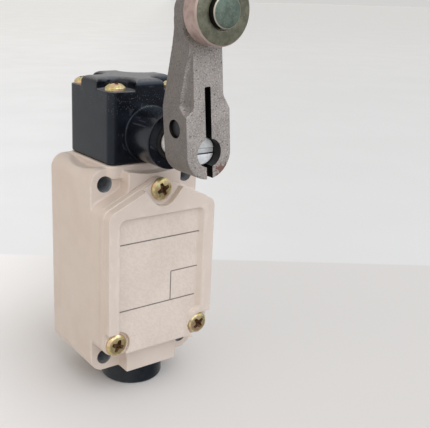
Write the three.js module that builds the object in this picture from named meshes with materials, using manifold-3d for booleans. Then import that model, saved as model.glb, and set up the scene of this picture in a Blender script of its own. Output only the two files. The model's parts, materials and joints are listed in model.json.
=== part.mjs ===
// Roller-lever limit switch: a die-cast box with a cover, a rotary head and a clamped lever arm.
// Millimetres, +Z up, +X to the right, front towards -Y.
// Origin: centre of the mounting-hole pattern on the rear mounting face.
// Depths named "front" are distances forward of the mounting face, so they lie at y = -front.

import * as THREE from "three";
import { mergeVertices } from "three/addons/utils/BufferGeometryUtils.js";
import Module from "manifold-3d";

const wasm = await Module();
wasm.setup();

// ---------------------------------------------------------------- driving dimensions

const running = 0.06; // radial clearance of turning and sliding pieces
const loose = 0.1; // clearance of fixed pieces that sit in a recess
const bite = 0.2; // overlap of solids that are joined into one

// box
const boxHalfWidth = 20;
const holePitchX = 30.2;
const holePitchZ = 58.7;
const holeRadius = 2.6;
const cornerRadius = boxHalfWidth - holePitchX / 2;
const boxHalfHeight = holePitchZ / 2 + cornerRadius;
const earFront = 28;
const rimFront = 33.5;
const rearWall = 2.8;
const seatTop = 35;

// cover
const coverHalfWidth = 19.9;
const coverBottom = -25.1;
const coverShoulder = 22.75;
const coverPeak = 32.46;
const flangeFront = 35.7;
const screwSeat = 36.6; // floor of the recesses round the cover screws
const fieldFront = 37.7; // floor of the wide recess in the cover's face
const coverFront = 39;
const coverScrewX = 15.7;
const coverScrewLow = -20.9;
const coverScrewHigh = 28.3;
const coverScrewHead = 3.6;
const coverScrewHeight = 1.5;
const notch = { half: 10.9, rise: 5.2, dip: 8, radius: 5 }; // vee round the top screw, from its axis
const lugRadius = 4.5; // of the recesses round the two lower screws

// head
const headHalf = 13.8;
const headDepth = 15.5; // front distance of the head's centre
const headBottom = seatTop + 0.5;
const pocketFloor = 57.5;
const headTop = 61;
const headScrewOffset = 10.1;
const shaftHeight = 44;
const bossRadius = 8.5;
const bossFront = 42;

// shaft, cam and plunger
const shaftRadius = 4;
const shaftFront = 57;
const camRadius = 6.5;
const camRear = 11;
const camFront = 20;
const camSeat = 3.6; // radius of the shaft inside the cam
const camFlat = 5; // distance of the cam's flat from the axis
const crossPinRadius = 0.8;
const plungerTop = 37.1;
const plungerTravel = 1.6;
const guideBottom = 26;

// lever and roller
const leverTilt = THREE.MathUtils.degToRad(-5);
const leverFront = 60;
const leverRear = 49;
const hubRadius = 7.5;
const leverLength = 38;
const armEnd = 5.2; // radius of the arm's roller end
const splitHalf = 1;
const armFront = 57.5;
const clampHeight = 7.1;
const clampFront = 54.5;
const boltHead = { radius: 4.2, seat: 3.3, end: 7 };
const rollerRadius = 8.75;
const rollerRear = 62;
const rollerFront = 67.5;
const pinRadius = 3;

// conduit entry
const conduitRadius = 10.3;
const conduitFront = 20.3;
const plugBottom = -42;

// built-in switch
const caseHalf = 12.6;
const caseBottom = -12;
const caseTop = 20;
const caseRear = 8;
const caseFront = 24;
const terminalDepth = 17.5; // front face of the terminal strips
const upperTab = 9.2;
const lowerTab = 5;
const bridgeTop = 8.4;
const contactReach = 4;

// ---------------------------------------------------------------- solids

function solid(geometry) {
  const bare = geometry.clone();
  bare.deleteAttribute("normal");
  bare.deleteAttribute("uv");
  const merged = mergeVertices(bare, 1e-4);
  const triangles = [];
  for (let i = 0; i < merged.index.count; i += 3) {
    const [a, b, c] = [0, 1, 2].map((k) => merged.index.getX(i + k));
    if (a !== b && b !== c && c !== a) triangles.push(a, b, c);
  }
  const vertProperties = new Float32Array(merged.attributes.position.array);
  const triVerts = new Uint32Array(triangles);
  return new wasm.Manifold(new wasm.Mesh({ numProp: 3, vertProperties, triVerts }));
}

// closed polygon with each corner [x, z, radius] rounded by an arc
function outline(corners) {
  const shape = new THREE.Shape();
  const count = corners.length;
  corners.forEach(([x, y, radius = 0], i) => {
    const here = new THREE.Vector2(x, y);
    const [bx, by] = corners[(i + count - 1) % count];
    const [nx, ny] = corners[(i + 1) % count];
    const back = new THREE.Vector2(bx, by).sub(here).normalize();
    const next = new THREE.Vector2(nx, ny).sub(here).normalize();
    const half = Math.acos(THREE.MathUtils.clamp(back.dot(next), -1, 1)) / 2;
    const reach = radius / Math.tan(half);
    const enter = here.clone().addScaledVector(back, reach);
    const leave = here.clone().addScaledVector(next, reach);
    if (i === 0) shape.moveTo(enter.x, enter.y);
    else shape.lineTo(enter.x, enter.y);
    if (radius > 0) {
      const middle = back.clone().add(next).normalize();
      const centre = here.clone().addScaledVector(middle, radius / Math.sin(half));
      const from = enter.sub(centre).angle();
      const to = leave.sub(centre).angle();
      shape.absarc(centre.x, centre.y, radius, from, to, back.cross(next) > 0);
    }
  });
  shape.closePath();
  return shape;
}

function rectangle(x0, x1, y0, y1, radius = 0) {
  return outline([[x0, y0, radius], [x1, y0, radius], [x1, y1, radius], [x0, y1, radius]]);
}

// shape drawn in X and Z, filling the depths from rear to front
function plate(shape, rear, front, curveSegments = 4) {
  const geometry = new THREE.ExtrudeGeometry(shape, {
    depth: front - rear, bevelEnabled: false, curveSegments,
  });
  geometry.rotateX(Math.PI / 2).translate(0, -rear, 0);
  return solid(geometry);
}

// shape drawn in X and Y, filling the heights from bottom to top
function column(shape, bottom, top, curveSegments = 4) {
  const geometry = new THREE.ExtrudeGeometry(shape, {
    depth: top - bottom, bevelEnabled: false, curveSegments,
  });
  geometry.translate(0, 0, bottom);
  return solid(geometry);
}

// shape drawn in Y and Z, filling the widths from left to right
function slab(shape, left, right) {
  const geometry = new THREE.ExtrudeGeometry(shape, { depth: right - left, bevelEnabled: false });
  const [x, y, z] = [[1, 0, 0], [0, 1, 0], [0, 0, 1]].map((axis) => new THREE.Vector3(...axis));
  geometry.applyMatrix4(new THREE.Matrix4().makeBasis(y, z, x)).translate(left, 0, 0);
  return solid(geometry);
}

function block(x0, x1, rear, front, z0, z1) {
  const geometry = new THREE.BoxGeometry(x1 - x0, front - rear, z1 - z0);
  geometry.translate((x0 + x1) / 2, -(rear + front) / 2, (z0 + z1) / 2);
  return solid(geometry);
}

// profile [radius, position along the axis], turned about "x", "y" or "z" through (a, b)
function turned(profile, axis, a, b, sides = 24) {
  const geometry = new THREE.LatheGeometry(profile.map(([r, p]) => new THREE.Vector2(r, p)), sides);
  if (axis === "y") geometry.translate(a, 0, b);
  if (axis === "z") geometry.rotateX(Math.PI / 2).translate(a, b, 0);
  if (axis === "x") geometry.rotateZ(-Math.PI / 2).translate(0, a, b);
  return solid(geometry);
}

function rod(axis, a, b, radius, low, high, sides = 24) {
  return turned([[0, low], [radius, low], [radius, high], [0, high]], axis, a, b, sides);
}

function ring(axis, a, b, inner, outer, low, high, sides = 24) {
  const profile = [[inner, low], [outer, low], [outer, high], [inner, high], [inner, low]];
  return turned(profile, axis, a, b, sides);
}

// radius of a bore whose flats clear a shaft of the given radius
function boreFor(radius, clearance = running, sides = 24) {
  return (radius + clearance) / Math.cos(Math.PI / sides);
}

function join(...solids) {
  return solids.reduce((all, next) => all.add(next));
}

function cut(base, ...tools) {
  return tools.reduce((left, tool) => left.subtract(tool), base);
}

function mirrored(build) {
  return join(build(-1), build(1));
}

class Helix extends THREE.Curve {
  constructor(radius, bottom, top, turns) {
    super();
    Object.assign(this, { radius, bottom, top, turns });
  }

  getPoint(t, target = new THREE.Vector3()) {
    const angle = 2 * Math.PI * this.turns * t;
    const height = this.bottom + (this.top - this.bottom) * t;
    return target.set(this.radius * Math.cos(angle), this.radius * Math.sin(angle), height);
  }
}

function coil(radius, wire, bottom, top, turns) {
  const section = new THREE.Shape().absarc(0, 0, wire, 0, 2 * Math.PI);
  const path = new Helix(radius, bottom + wire, top - wire, turns);
  const options = { steps: turns * 10, extrudePath: path, curveSegments: 2 };
  return solid(new THREE.ExtrudeGeometry(section, options));
}

// ---------------------------------------------------------------- materials and nodes

const finishes = {
  paint: [0xc9bba8, 0.5, 0.05],
  blackPaint: [0x14171c, 0.22, 0.1],
  zinc: [0xc9b36a, 0.3, 0.9],
  castSteel: [0x8e8880, 0.6, 0.55],
  steel: [0xb9bbbd, 0.25, 0.95],
  sintered: [0x777a6c, 0.5, 0.7],
  rubber: [0x1c1d1f, 0.85, 0],
  plastic: [0x22262a, 0.55, 0],
  phenolic: [0x4a2d20, 0.5, 0],
  bronze: [0xa9803f, 0.4, 0.85],
  brass: [0xc6a24e, 0.3, 0.9],
  acetal: [0xe8e4d8, 0.5, 0],
};

function node(parent, name, finish, body) {
  const { numProp, vertProperties, triVerts } = body.getMesh();
  const geometry = new THREE.BufferGeometry();
  geometry.setAttribute("position", new THREE.BufferAttribute(vertProperties, numProp));
  geometry.setIndex(new THREE.BufferAttribute(triVerts, 1));
  geometry.computeVertexNormals();
  const [color, roughness, metalness] = finishes[finish];
  const mesh = new THREE.Mesh(geometry, new THREE.MeshStandardMaterial({ color, roughness, metalness }));
  mesh.name = name;
  parent.add(mesh);
  return mesh;
}

// pan-head screw along -Y with a cross recess; its head rests at the depth "seat"
function screwForward(x, z, seat, headRadius, headHeight, shankRadius, tip, sides = 12) {
  const front = -(seat + headHeight);
  const profile = [
    [0, front], [headRadius * 0.72, front], [headRadius, front + headHeight * 0.5],
    [headRadius, -seat], [shankRadius, -seat], [shankRadius, -tip], [0, -tip],
  ];
  const slot = headRadius * 0.58;
  const width = headRadius * 0.13;
  const deep = seat + headHeight * 0.45;
  const high = seat + headHeight + 1;
  return cut(
    turned(profile, "y", x, z, sides),
    block(x - slot, x + slot, deep, high, z - width, z + width),
    block(x - width, x + width, deep, high, z - slot, z + slot),
  );
}

// the same screw standing upright, head up
function screwUp(x, y, seat, headRadius, headHeight, shankRadius, tip) {
  const lying = screwForward(0, 0, seat, headRadius, headHeight, shankRadius, tip);
  return lying.rotate([-90, 0, 0]).translate([x, y, 0]);
}

// ---------------------------------------------------------------- box and cover

const mountHoles = [-1, 1].flatMap((i) => [-1, 1].map((k) => [i * holePitchX / 2, k * holePitchZ / 2]));
const coverScrews = {
  top: [0, coverScrewHigh],
  left: [-coverScrewX, coverScrewLow],
  right: [coverScrewX, coverScrewLow],
};
const headScrews = [[-1, 1], [1, 1], [-1, -1], [1, -1]].map(
  ([i, k]) => [i * headScrewOffset, -headDepth + k * headScrewOffset],
);
const caseScrews = [[-9.9, 17.2], [9.9, -8.4]];
const earthScrew = [-7.2, -18.2];
const blockHalf = 9.7;

function coverOutline(inset = 0) {
  const side = coverHalfWidth - inset;
  const low = coverBottom + inset;
  const shoulder = coverShoulder - inset * 0.6;
  const lug = coverHalfWidth - coverScrewX - inset;
  return outline([
    [-side, low, lug], [side, low, lug],
    [side, shoulder, 3.2], [0, coverPeak - inset, 4.1], [-side, shoulder, 3.2],
  ]);
}

// wiring space: full width above, narrower between the two lower screw bosses
function cavityOutline(grow = 0) {
  const side = 16.2 + grow;
  const neck = 10.6 + grow;
  const step = -16.2 - grow;
  const low = -22.4 - grow;
  const high = 22.2 + grow;
  const round = 1.5 + grow * 0.5;
  return outline([
    [-neck, low, round], [neck, low, round], [neck, step, 1.2], [side, step, round],
    [side, high, round + 1], [-side, high, round + 1], [-side, step, round], [-neck, step, 1.2],
  ]);
}

function seatOutline(half, radius) {
  return rectangle(-half, half, -headDepth - half, -headDepth + half, radius);
}

// shallow hollows beside and in front of the head's seat
function seatScoops() {
  const radius = 36;
  const dip = 1.3;
  const centre = boxHalfHeight - dip + radius;
  const side = rod("x", -headDepth, centre, radius, headHalf + 0.5, boxHalfWidth + 1, 72);
  const front = rod("y", 0, centre - 0.4, radius, -rimFront - 1, -headDepth - headHalf - 0.5, 72);
  return join(side, side.mirror([1, 0, 0]), front);
}

// block between two ears, hollowed at its sides to clear the mounting screws' heads
function frontBlock(low, high, end) {
  const level = end * holePitchZ / 2;
  const outer = level + end * 8;
  const room = 5.5;
  return cut(
    plate(rectangle(-blockHalf - 2, blockHalf + 2, low, high), earFront - bite, rimFront),
    mirrored((side) => {
      const [x0, x1] = [blockHalf, blockHalf + 9].map((x) => side * x).sort((a, b) => a - b);
      return join(
        rod("y", side * holePitchX / 2, level, room, -rimFront - 1, -earFront + 1, 28),
        block(x0, x1, earFront - 1, rimFront + 1, Math.min(level, outer), Math.max(level, outer)),
      );
    }),
  );
}

function housing() {
  const walls = join(
    plate(rectangle(-boxHalfWidth, boxHalfWidth, -boxHalfHeight, boxHalfHeight, cornerRadius), 0, earFront),
    plate(coverOutline(), earFront - bite, rimFront),
    frontBlock(-boxHalfHeight, coverBottom + 2, -1),
    frontBlock(coverShoulder + 1, 33.6, 1),
  );
  const seat = column(seatOutline(headHalf + 0.4, 2.8), 31, seatTop);
  const shell = cut(
    walls.subtract(seatScoops()).add(seat),
    plate(cavityOutline(), rearWall, rimFront + 1),
    plate(cavityOutline(1.7), rimFront - 1.2, rimFront + 1).subtract(plate(cavityOutline(0.7), 30, 36)),
    rod("z", 0, -conduitFront, conduitRadius, -36, -21.5, 32),
    rod("z", 0, -headDepth, boreFor(7, loose), 20, 36),
    rod("z", 0, -headDepth, boreFor(8.8, loose), 33.8, 36),
    ...mountHoles.map(([x, z]) => rod("y", x, z, holeRadius, -earFront - 6, 1, 20)),
    ...Object.values(coverScrews).map(([x, z]) => rod("y", x, z, boreFor(1.9, loose, 16), -35, -22, 16)),
    ...headScrews.map(([x, y]) => rod("z", x, y, boreFor(1.7, loose, 12), 26.5, 36, 12)),
  );
  const posts = [...caseScrews.map(([x, z]) => [x, z, 3.3, caseRear]), [...earthScrew, 3.2, 6.5]];
  return posts.reduce((body, [x, z, radius, front]) => cut(
    body.add(rod("y", x, z, radius, -front, -rearWall + bite, 20)),
    rod("y", x, z, boreFor(1.45, loose, 12), -front - 1, -1.6, 12),
  ), shell);
}

function topNotch() {
  const { half, rise, dip, radius } = notch;
  const [top, tip] = [coverScrewHigh + rise, coverScrewHigh - dip];
  return outline([[-half, top, 0], [0, tip, radius], [half, top, 0]]);
}

// wide recess of the cover's face, open at the lower edge
function coverField() {
  return outline([
    [-15.8, -29, 0], [10.4, -29, 0], [11.4, -15.4, 1.5], [15.2, -14.6, 1.2], [15.2, 21, 2.2], [-15.8, 21, 2.2],
  ]);
}

function cover() {
  const flange = plate(coverOutline(), rimFront, flangeFront);
  const raised = cut(
    plate(coverOutline(0.3), flangeFront - bite, coverFront),
    plate(topNotch(), screwSeat, 45),
    plate(coverField(), fieldFront, 45),
    ...[-1, 1].map((side) => rod("y", side * coverScrewX, coverScrewLow, lugRadius, -45, -screwSeat, 28)),
    ...[-1, 1].map((side) => {
      const [near, far] = [coverScrewX, 24].map((x) => side * x);
      return block(Math.min(near, far), Math.max(near, far), screwSeat, 45, -30, coverScrewLow + lugRadius);
    }),
  );
  return cut(
    flange.add(raised),
    plate(rectangle(-14.4, 14.4, -14.6, 19.6, 2), rimFront - 1, coverFront - 3.1),
    ...Object.values(coverScrews).map(([x, z]) => rod("y", x, z, boreFor(1.9, loose, 16), -40, -30, 16)),
  );
}

function coverGasket() {
  return plate(cavityOutline(1.6), rimFront - 1.2, rimFront).subtract(plate(cavityOutline(0.8), 30, 36));
}

// ---------------------------------------------------------------- conduit plug

function conduitPlug() {
  const under = -boxHalfHeight - loose;
  const profile = [
    [0, plugBottom], [9.9, plugBottom], [10.6, plugBottom + 0.7], [10.6, under], [9.6, under],
    [9.6, under + 1.3], [9.9, under + 1.7], [9.9, -24.5], [9.3, -24], [7, -24], [7, -33], [0, -33],
  ];
  const socket = new THREE.CylinderGeometry(5, 5, 8, 6).rotateX(Math.PI / 2);
  socket.translate(0, -conduitFront, plugBottom);
  return turned(profile, "z", 0, -conduitFront, 32).subtract(solid(socket));
}

function plugSeal() {
  return ring("z", 0, -conduitFront, 9.7, 10.2, -boxHalfHeight + 0.1, -boxHalfHeight + 1.1, 32);
}

// ---------------------------------------------------------------- head

function headHousing() {
  const scallops = headScrews.map(([x, y]) => rod("z", x, y, 6.1, pocketFloor, headTop + 1, 32));
  const cavityTop = 53.5;
  const body = join(
    column(seatOutline(headHalf, 2.6), headBottom, headTop),
    rod("y", 0, shaftHeight, bossRadius, -bossFront, -headDepth - headHalf + 1, 40),
  );
  const rearBearing = boreFor(3);
  const profile = [
    [0, -bossFront - 1], [boreFor(5.4, loose), -bossFront - 1], [boreFor(5.4, loose), -25.4],
    [boreFor(shaftRadius + 1.1, loose), -25.4], [boreFor(shaftRadius + 1.1, loose), -20],
    [rearBearing, -20], [rearBearing, -4.2], [0, -4.2],
  ];
  return cut(
    body,
    ...scallops,
    block(-8.2, 8.2, headDepth - 7.6, headDepth + 7.6, headBottom - 1, cavityTop),
    turned(profile, "y", 0, shaftHeight),
    ...headScrews.map(([x, y]) => rod("z", x, y, boreFor(1.7, loose, 12), headBottom - 1, headTop, 12)),
  );
}

function headGasket() {
  return cut(
    column(seatOutline(headHalf - 0.7, 2), seatTop, headBottom),
    rod("z", 0, -headDepth, 9, seatTop - 1, headBottom + 1),
    ...headScrews.map(([x, y]) => rod("z", x, y, boreFor(1.7, loose, 12), seatTop - 1, headBottom + 1, 12)),
  );
}

function shaftBush() {
  return ring("y", 0, shaftHeight, boreFor(shaftRadius), 5.4, -39.6, -25.5);
}

function shaftSeal() {
  return ring("y", 0, shaftHeight, boreFor(shaftRadius), 5.4, -42.5, -39.8);
}

// ---------------------------------------------------------------- shaft, cam and plunger

function rotaryShaft() {
  const profile = [
    [0, -shaftFront], [shaftRadius - 0.5, -shaftFront], [shaftRadius, -shaftFront + 0.5],
    [shaftRadius, -25.3], [5, -25.3], [5, -camFront - 0.5], [camSeat, -camFront - 0.5],
    [camSeat, -9], [3, -9], [3, -4.5], [0, -4.5],
  ];
  return cut(
    turned(profile, "y", 0, shaftHeight),
    block(-5, 5, shaftFront - 1, shaftFront + 1, shaftHeight - 0.6, shaftHeight + 0.6),
    rod("x", -(camRear + camFront) / 2, shaftHeight, boreFor(crossPinRadius, 0.04, 14), -6, 6, 14),
  );
}

// round cam with a flat below, which faces the plunger at rest
function cam() {
  const middle = -(camRear + camFront) / 2;
  return cut(
    rod("y", 0, shaftHeight, camRadius, -camFront, -camRear, 36),
    rod("y", 0, shaftHeight, boreFor(camSeat, 0.04), -camFront - 1, -camRear + 1),
    block(-7, 7, camRear - 1, camFront + 1, shaftHeight - 8, shaftHeight - camFlat),
    rod("x", middle, shaftHeight, boreFor(crossPinRadius, 0.04, 14), -8, 8, 14),
  );
}

function crossPin() {
  return rod("x", -(camRear + camFront) / 2, shaftHeight, crossPinRadius, -6, 6, 14);
}

// cup-shaped guide in the top of the box: the spring stands in the cup, the stem slides in its floor
function plungerGuide() {
  const floor = guideBottom + 2;
  return turned([
    [boreFor(2), guideBottom], [7, guideBottom], [7, 33.9], [8.8, 33.9], [8.8, seatTop],
    [5.3, seatTop], [5.3, floor], [boreFor(2), floor], [boreFor(2), guideBottom],
  ], "z", 0, -headDepth);
}

function operatingPlunger() {
  const under = plungerTop - 1.2;
  return turned([
    [0, 22.4], [1.6, 22.4], [2, 22.8], [2, under], [4.9, under], [4.9, plungerTop - 0.4],
    [4.5, plungerTop], [0, plungerTop],
  ], "z", 0, -headDepth);
}

// ---------------------------------------------------------------- built-in switch

function switchCase() {
  const stem = boreFor(1.7, running, 16);
  const pockets = mirrored((side) => {
    const [x0, x1] = [7.6, 14].map((x) => side * x).sort((a, b) => a - b);
    return join(
      block(x0, x1, terminalDepth - 0.8, caseFront + 1, upperTab - 0.1, 15.2),
      block(x0, x1, terminalDepth - 0.8, caseFront + 1, -1.2, lowerTab + 0.1),
    );
  });
  const slots = mirrored((side) => {
    const [x0, x1] = [6, 8].map((x) => side * x).sort((a, b) => a - b);
    return join(
      block(x0, x1, terminalDepth - 0.9, terminalDepth + 0.1, upperTab - 0.1, 14.8),
      block(x0, x1, terminalDepth - 0.9, terminalDepth + 0.1, -0.6, lowerTab + 0.1),
    );
  });
  return cut(
    plate(rectangle(-caseHalf, caseHalf, caseBottom, caseTop, 1.2), caseRear, caseFront, 3),
    block(-6.5, 6.5, caseRear + 2, caseFront + 1, caseBottom + 3, caseTop - 4),
    pockets,
    slots,
    rod("z", 0, -headDepth, stem, caseTop - 6, caseTop + 1, 16),
    ...caseScrews.map(([x, z]) => rod("y", x, z, boreFor(1.45, loose, 12), -30, 0, 12)),
    ...terminalPlaces.map(({ x, z }) => rod("y", x, z, boreFor(1.2, loose, 12), -terminalDepth, -11.8, 12)),
  );
}

const terminalPlaces = [
  { name: "upper_left", side: -1, upper: true },
  { name: "upper_right", side: 1, upper: true },
  { name: "lower_left", side: -1, upper: false },
  { name: "lower_right", side: 1, upper: false },
].map((place) => ({ ...place, x: place.side * 9.9, z: place.upper ? 12 : 2.2 }));

// brass strip: a flat under the screw, and a tab that holds the fixed contact inside the case
function terminalStrip({ side, upper, x, z }) {
  const [low, high] = upper ? [upperTab, 14.6] : [-0.4, lowerTab];
  const [tabLow, tabHigh] = upper ? [upperTab, upperTab + 0.8] : [lowerTab - 0.8, lowerTab];
  const flat = block(5.2, 12.2, terminalDepth - 0.75, terminalDepth, low, high);
  const tab = block(2.9, 5.4, 13.4, 18.3, tabLow, tabHigh);
  const strip = flat.add(tab);
  const placed = side > 0 ? strip : strip.mirror([1, 0, 0]);
  return placed.subtract(rod("y", x, z, boreFor(1.2, loose, 12), -20, -14, 12));
}

function switchLid() {
  return plate(rectangle(-7.1, 7.1, caseBottom + 1.5, caseTop - 2.6, 1), caseFront + 0.05, caseFront + 1.2, 3);
}

function switchPlunger() {
  return turned([
    [0, bridgeTop + 0.1], [1.7, bridgeTop + 0.1], [1.7, 21.6], [1.1, 22.3], [0, 22.3],
  ], "z", 0, -headDepth, 16);
}

// bar that closes the upper or the lower pair of fixed contacts
function contactBridge() {
  const bar = block(-5.2, 5.2, headDepth - 1.5, headDepth + 1.5, bridgeTop - 1, bridgeTop);
  const rivets = mirrored((side) => rod(
    "z", side * contactReach, -headDepth, 1.05, lowerTab + plungerTravel + 0.1, upperTab - 0.1, 14,
  ));
  return bar.add(rivets);
}

// ---------------------------------------------------------------- lever and roller
// The lever group is upright in its own frame: its origin is on the shaft axis, and it is then tilted.

// seen from the front: round hub, a shoulder on the right, and a taper up to the roller end
function leverFace() {
  const low = hubRadius - 0.02;
  return outline([
    [-hubRadius, -hubRadius, low], [hubRadius, -hubRadius, low],
    [hubRadius, 11.4, 1.4], [5.4, 15.4, 2], [armEnd, leverLength + armEnd, armEnd - 0.02],
    [-armEnd, leverLength + armEnd, armEnd - 0.02], [-5.6, 30, 4], [-hubRadius, 12, 6],
  ]);
}

// seen from the side: thick hub, tapering back, thin end behind the roller
function leverSide() {
  const points = [
    [leverRear, -9], [leverFront, -9], [leverFront, 30.5], [armFront, 32.5], [armFront, 46],
    [53.4, 46], [53.2, 34], [leverRear, 13],
  ];
  return outline(points.map(([front, height]) => [-front, height, 0]));
}

function leverArm() {
  const { radius, seat } = boltHead;
  const flute = turned([[0, -17.3], [2.2, -17.3], [3.4, -16.4], [4.45, -14.4], [0, 0]], "z", 0, 0, 32);
  return cut(
    slab(leverSide(), -12, 12).intersect(plate(leverFace(), leverRear - 1, leverFront + 1, 10)),
    rod("y", 0, 0, boreFor(shaftRadius, 0.04), -70, -40),
    block(-splitHalf, splitHalf, 40, 70, -12, 17.6),
    block(-splitHalf + 0.5, splitHalf - 0.5, 40, 70, 17.5, 18.3),
    rod("x", -clampFront, clampHeight, boreFor(2.5, loose), -9, 9, 24),
    rod("x", -clampFront, clampHeight, boreFor(radius, loose), seat, 9, 28),
    flute.rotate([-3.5, 17.4, 0]).translate([-4.5, -leverFront, 26.3]),
    rod("y", 0, leverLength, boreFor(pinRadius, loose), -70, -40),
  );
}

function clampBolt() {
  const { radius, seat, end } = boltHead;
  const profile = [
    [0, -6.6], [2.1, -6.6], [2.5, -6.1], [2.5, seat + 0.05], [radius, seat + 0.05],
    [radius, end - 0.4], [radius - 0.4, end], [0, end],
  ];
  const socket = new THREE.CylinderGeometry(2.3, 2.3, 5, 6).rotateZ(Math.PI / 2);
  socket.translate(end, -clampFront, clampHeight);
  return turned(profile, "x", -clampFront, clampHeight, 24).subtract(solid(socket));
}

function rollerPin() {
  const head = -rollerFront + 0.9;
  return turned([
    [0, -69.2], [3.9, -69.2], [4.3, -68.8], [4.3, head - 0.1], [pinRadius, head - 0.1],
    [pinRadius, -53.1], [4, -53.1], [4, -52.4], [3.4, -51.9], [0, -51.9],
  ], "y", 0, leverLength);
}

function rollerSpacer() {
  return ring("y", 0, leverLength, boreFor(pinRadius), 4.6, -rollerRear + 0.1, -armFront - 0.1);
}

function roller() {
  const bore = boreFor(pinRadius);
  const bevel = 0.7;
  const pocket = -rollerFront + 0.9;
  return turned([
    [bore, pocket], [4.9, pocket], [4.9, -rollerFront], [rollerRadius - bevel, -rollerFront],
    [rollerRadius, -rollerFront + bevel], [rollerRadius, -rollerRear - bevel],
    [rollerRadius - bevel, -rollerRear], [bore, -rollerRear], [bore, pocket],
  ], "y", 0, leverLength, 48);
}

// ---------------------------------------------------------------- assembly

function buildSwitch() {
  const assembly = new THREE.Group();
  const fixed = (name, finish, body) => node(assembly, name, finish, body);

  fixed("housing", "paint", housing());
  fixed("cover_gasket", "rubber", coverGasket());
  fixed("cover", "paint", cover());
  for (const [place, [x, z]] of Object.entries(coverScrews)) {
    const screw = screwForward(x, z, screwSeat, coverScrewHead, coverScrewHeight, 1.9, 23, 16);
    fixed(`cover_screw_${place}`, "zinc", screw);
  }
  fixed("conduit_plug", "plastic", conduitPlug());
  fixed("plug_seal", "rubber", plugSeal());
  fixed("head_gasket", "rubber", headGasket());
  fixed("head_housing", "blackPaint", headHousing());
  headScrews.forEach(([x, y], i) => {
    fixed(`head_screw_${i + 1}`, "zinc", screwUp(x, y, pocketFloor, 3.2, 2.3, 1.7, 27.5));
  });
  fixed("shaft_bush", "bronze", shaftBush());
  fixed("shaft_seal", "rubber", shaftSeal());
  fixed("plunger_guide", "bronze", plungerGuide());
  fixed("earth_screw", "zinc", screwForward(...earthScrew, 6.5, 2.9, 2, 1.45, 2.4));

  fixed("switch_case", "phenolic", switchCase());
  fixed("switch_lid", "phenolic", switchLid());
  caseScrews.forEach(([x, z], i) => {
    fixed(`case_screw_${i + 1}`, "zinc", screwForward(x, z, caseFront, 2.6, 1.8, 1.45, 2.4));
  });
  for (const place of terminalPlaces) {
    fixed(`terminal_${place.name}`, "brass", terminalStrip(place));
    const screw = screwForward(place.x, place.z, terminalDepth, 2.3, 1.7, 1.2, 12);
    fixed(`terminal_screw_${place.name}`, "zinc", screw);
  }
  fixed("switch_plunger", "acetal", switchPlunger());
  fixed("contact_bridge", "brass", contactBridge());
  const contactCoil = coil(2.2, 0.3, caseBottom + 3.05, bridgeTop - 1.05, 7);
  fixed("contact_spring", "steel", contactCoil.translate([0, -headDepth, 0]));

  fixed("rotary_shaft", "steel", rotaryShaft());
  fixed("cam", "steel", cam());
  fixed("cross_pin", "steel", crossPin());
  fixed("operating_plunger", "steel", operatingPlunger());
  const returnCoil = coil(4.1, 0.4, guideBottom + 2.05, plungerTop - 1.25, 4);
  fixed("return_spring", "steel", returnCoil.translate([0, -headDepth, 0]));

  const lever = new THREE.Group();
  lever.position.set(0, 0, shaftHeight);
  lever.rotation.y = leverTilt;
  assembly.add(lever);
  node(lever, "lever_arm", "castSteel", leverArm());
  node(lever, "clamp_bolt", "steel", clampBolt());
  node(lever, "roller_pin", "sintered", rollerPin());
  node(lever, "roller_spacer", "steel", rollerSpacer());
  node(lever, "roller", "sintered", roller());
  return assembly;
}

export default buildSwitch();
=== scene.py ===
import json
import math

import bmesh
import bpy
from mathutils import Matrix, Vector


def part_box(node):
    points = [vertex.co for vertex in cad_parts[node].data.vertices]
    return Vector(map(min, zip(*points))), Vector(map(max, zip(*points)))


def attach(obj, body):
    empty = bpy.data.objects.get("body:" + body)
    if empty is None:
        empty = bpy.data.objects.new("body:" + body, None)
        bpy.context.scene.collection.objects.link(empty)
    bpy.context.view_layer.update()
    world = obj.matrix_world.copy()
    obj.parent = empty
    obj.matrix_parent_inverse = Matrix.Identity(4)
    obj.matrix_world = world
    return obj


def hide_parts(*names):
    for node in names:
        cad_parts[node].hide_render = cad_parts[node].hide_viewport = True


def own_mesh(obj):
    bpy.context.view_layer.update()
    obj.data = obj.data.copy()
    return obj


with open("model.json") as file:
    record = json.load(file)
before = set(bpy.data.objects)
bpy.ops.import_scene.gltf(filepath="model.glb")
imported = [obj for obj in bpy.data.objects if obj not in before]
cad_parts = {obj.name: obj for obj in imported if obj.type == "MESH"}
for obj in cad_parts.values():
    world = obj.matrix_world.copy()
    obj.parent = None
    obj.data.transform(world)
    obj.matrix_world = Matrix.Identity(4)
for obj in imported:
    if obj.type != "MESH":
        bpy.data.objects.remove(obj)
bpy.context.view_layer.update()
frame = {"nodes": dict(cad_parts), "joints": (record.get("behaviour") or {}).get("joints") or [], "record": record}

# Lengths below are in millimetres, in the frame's axes. Depths grow forward, along -Y.
MM = 0.001
ARC_STEP = math.radians(7)
PROFILE_STEP = math.radians(12)
FINE_SIDES = 96
SCOOP_SIDES = 256
MATERIAL_SLOTS = 3
PAST = 1.0  # how far a cutting tool runs past the surface it opens


def box_mm(node):
    """Lowest and highest corner of a CAD node, in millimetres."""
    low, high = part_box(node)
    return Vector(low) / MM, Vector(high) / MM


def middle(node):
    low, high = box_mm(node)
    return (low + high) / 2


# ---------------------------------------------------------------- places read from the frame

housing_low, housing_high = box_mm("housing")
cover_low, cover_high = box_mm("cover")
head_low, head_high = box_mm("head_housing")
plug_low, plug_high = box_mm("conduit_plug")
shaft_low, shaft_high = box_mm("rotary_shaft")

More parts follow.
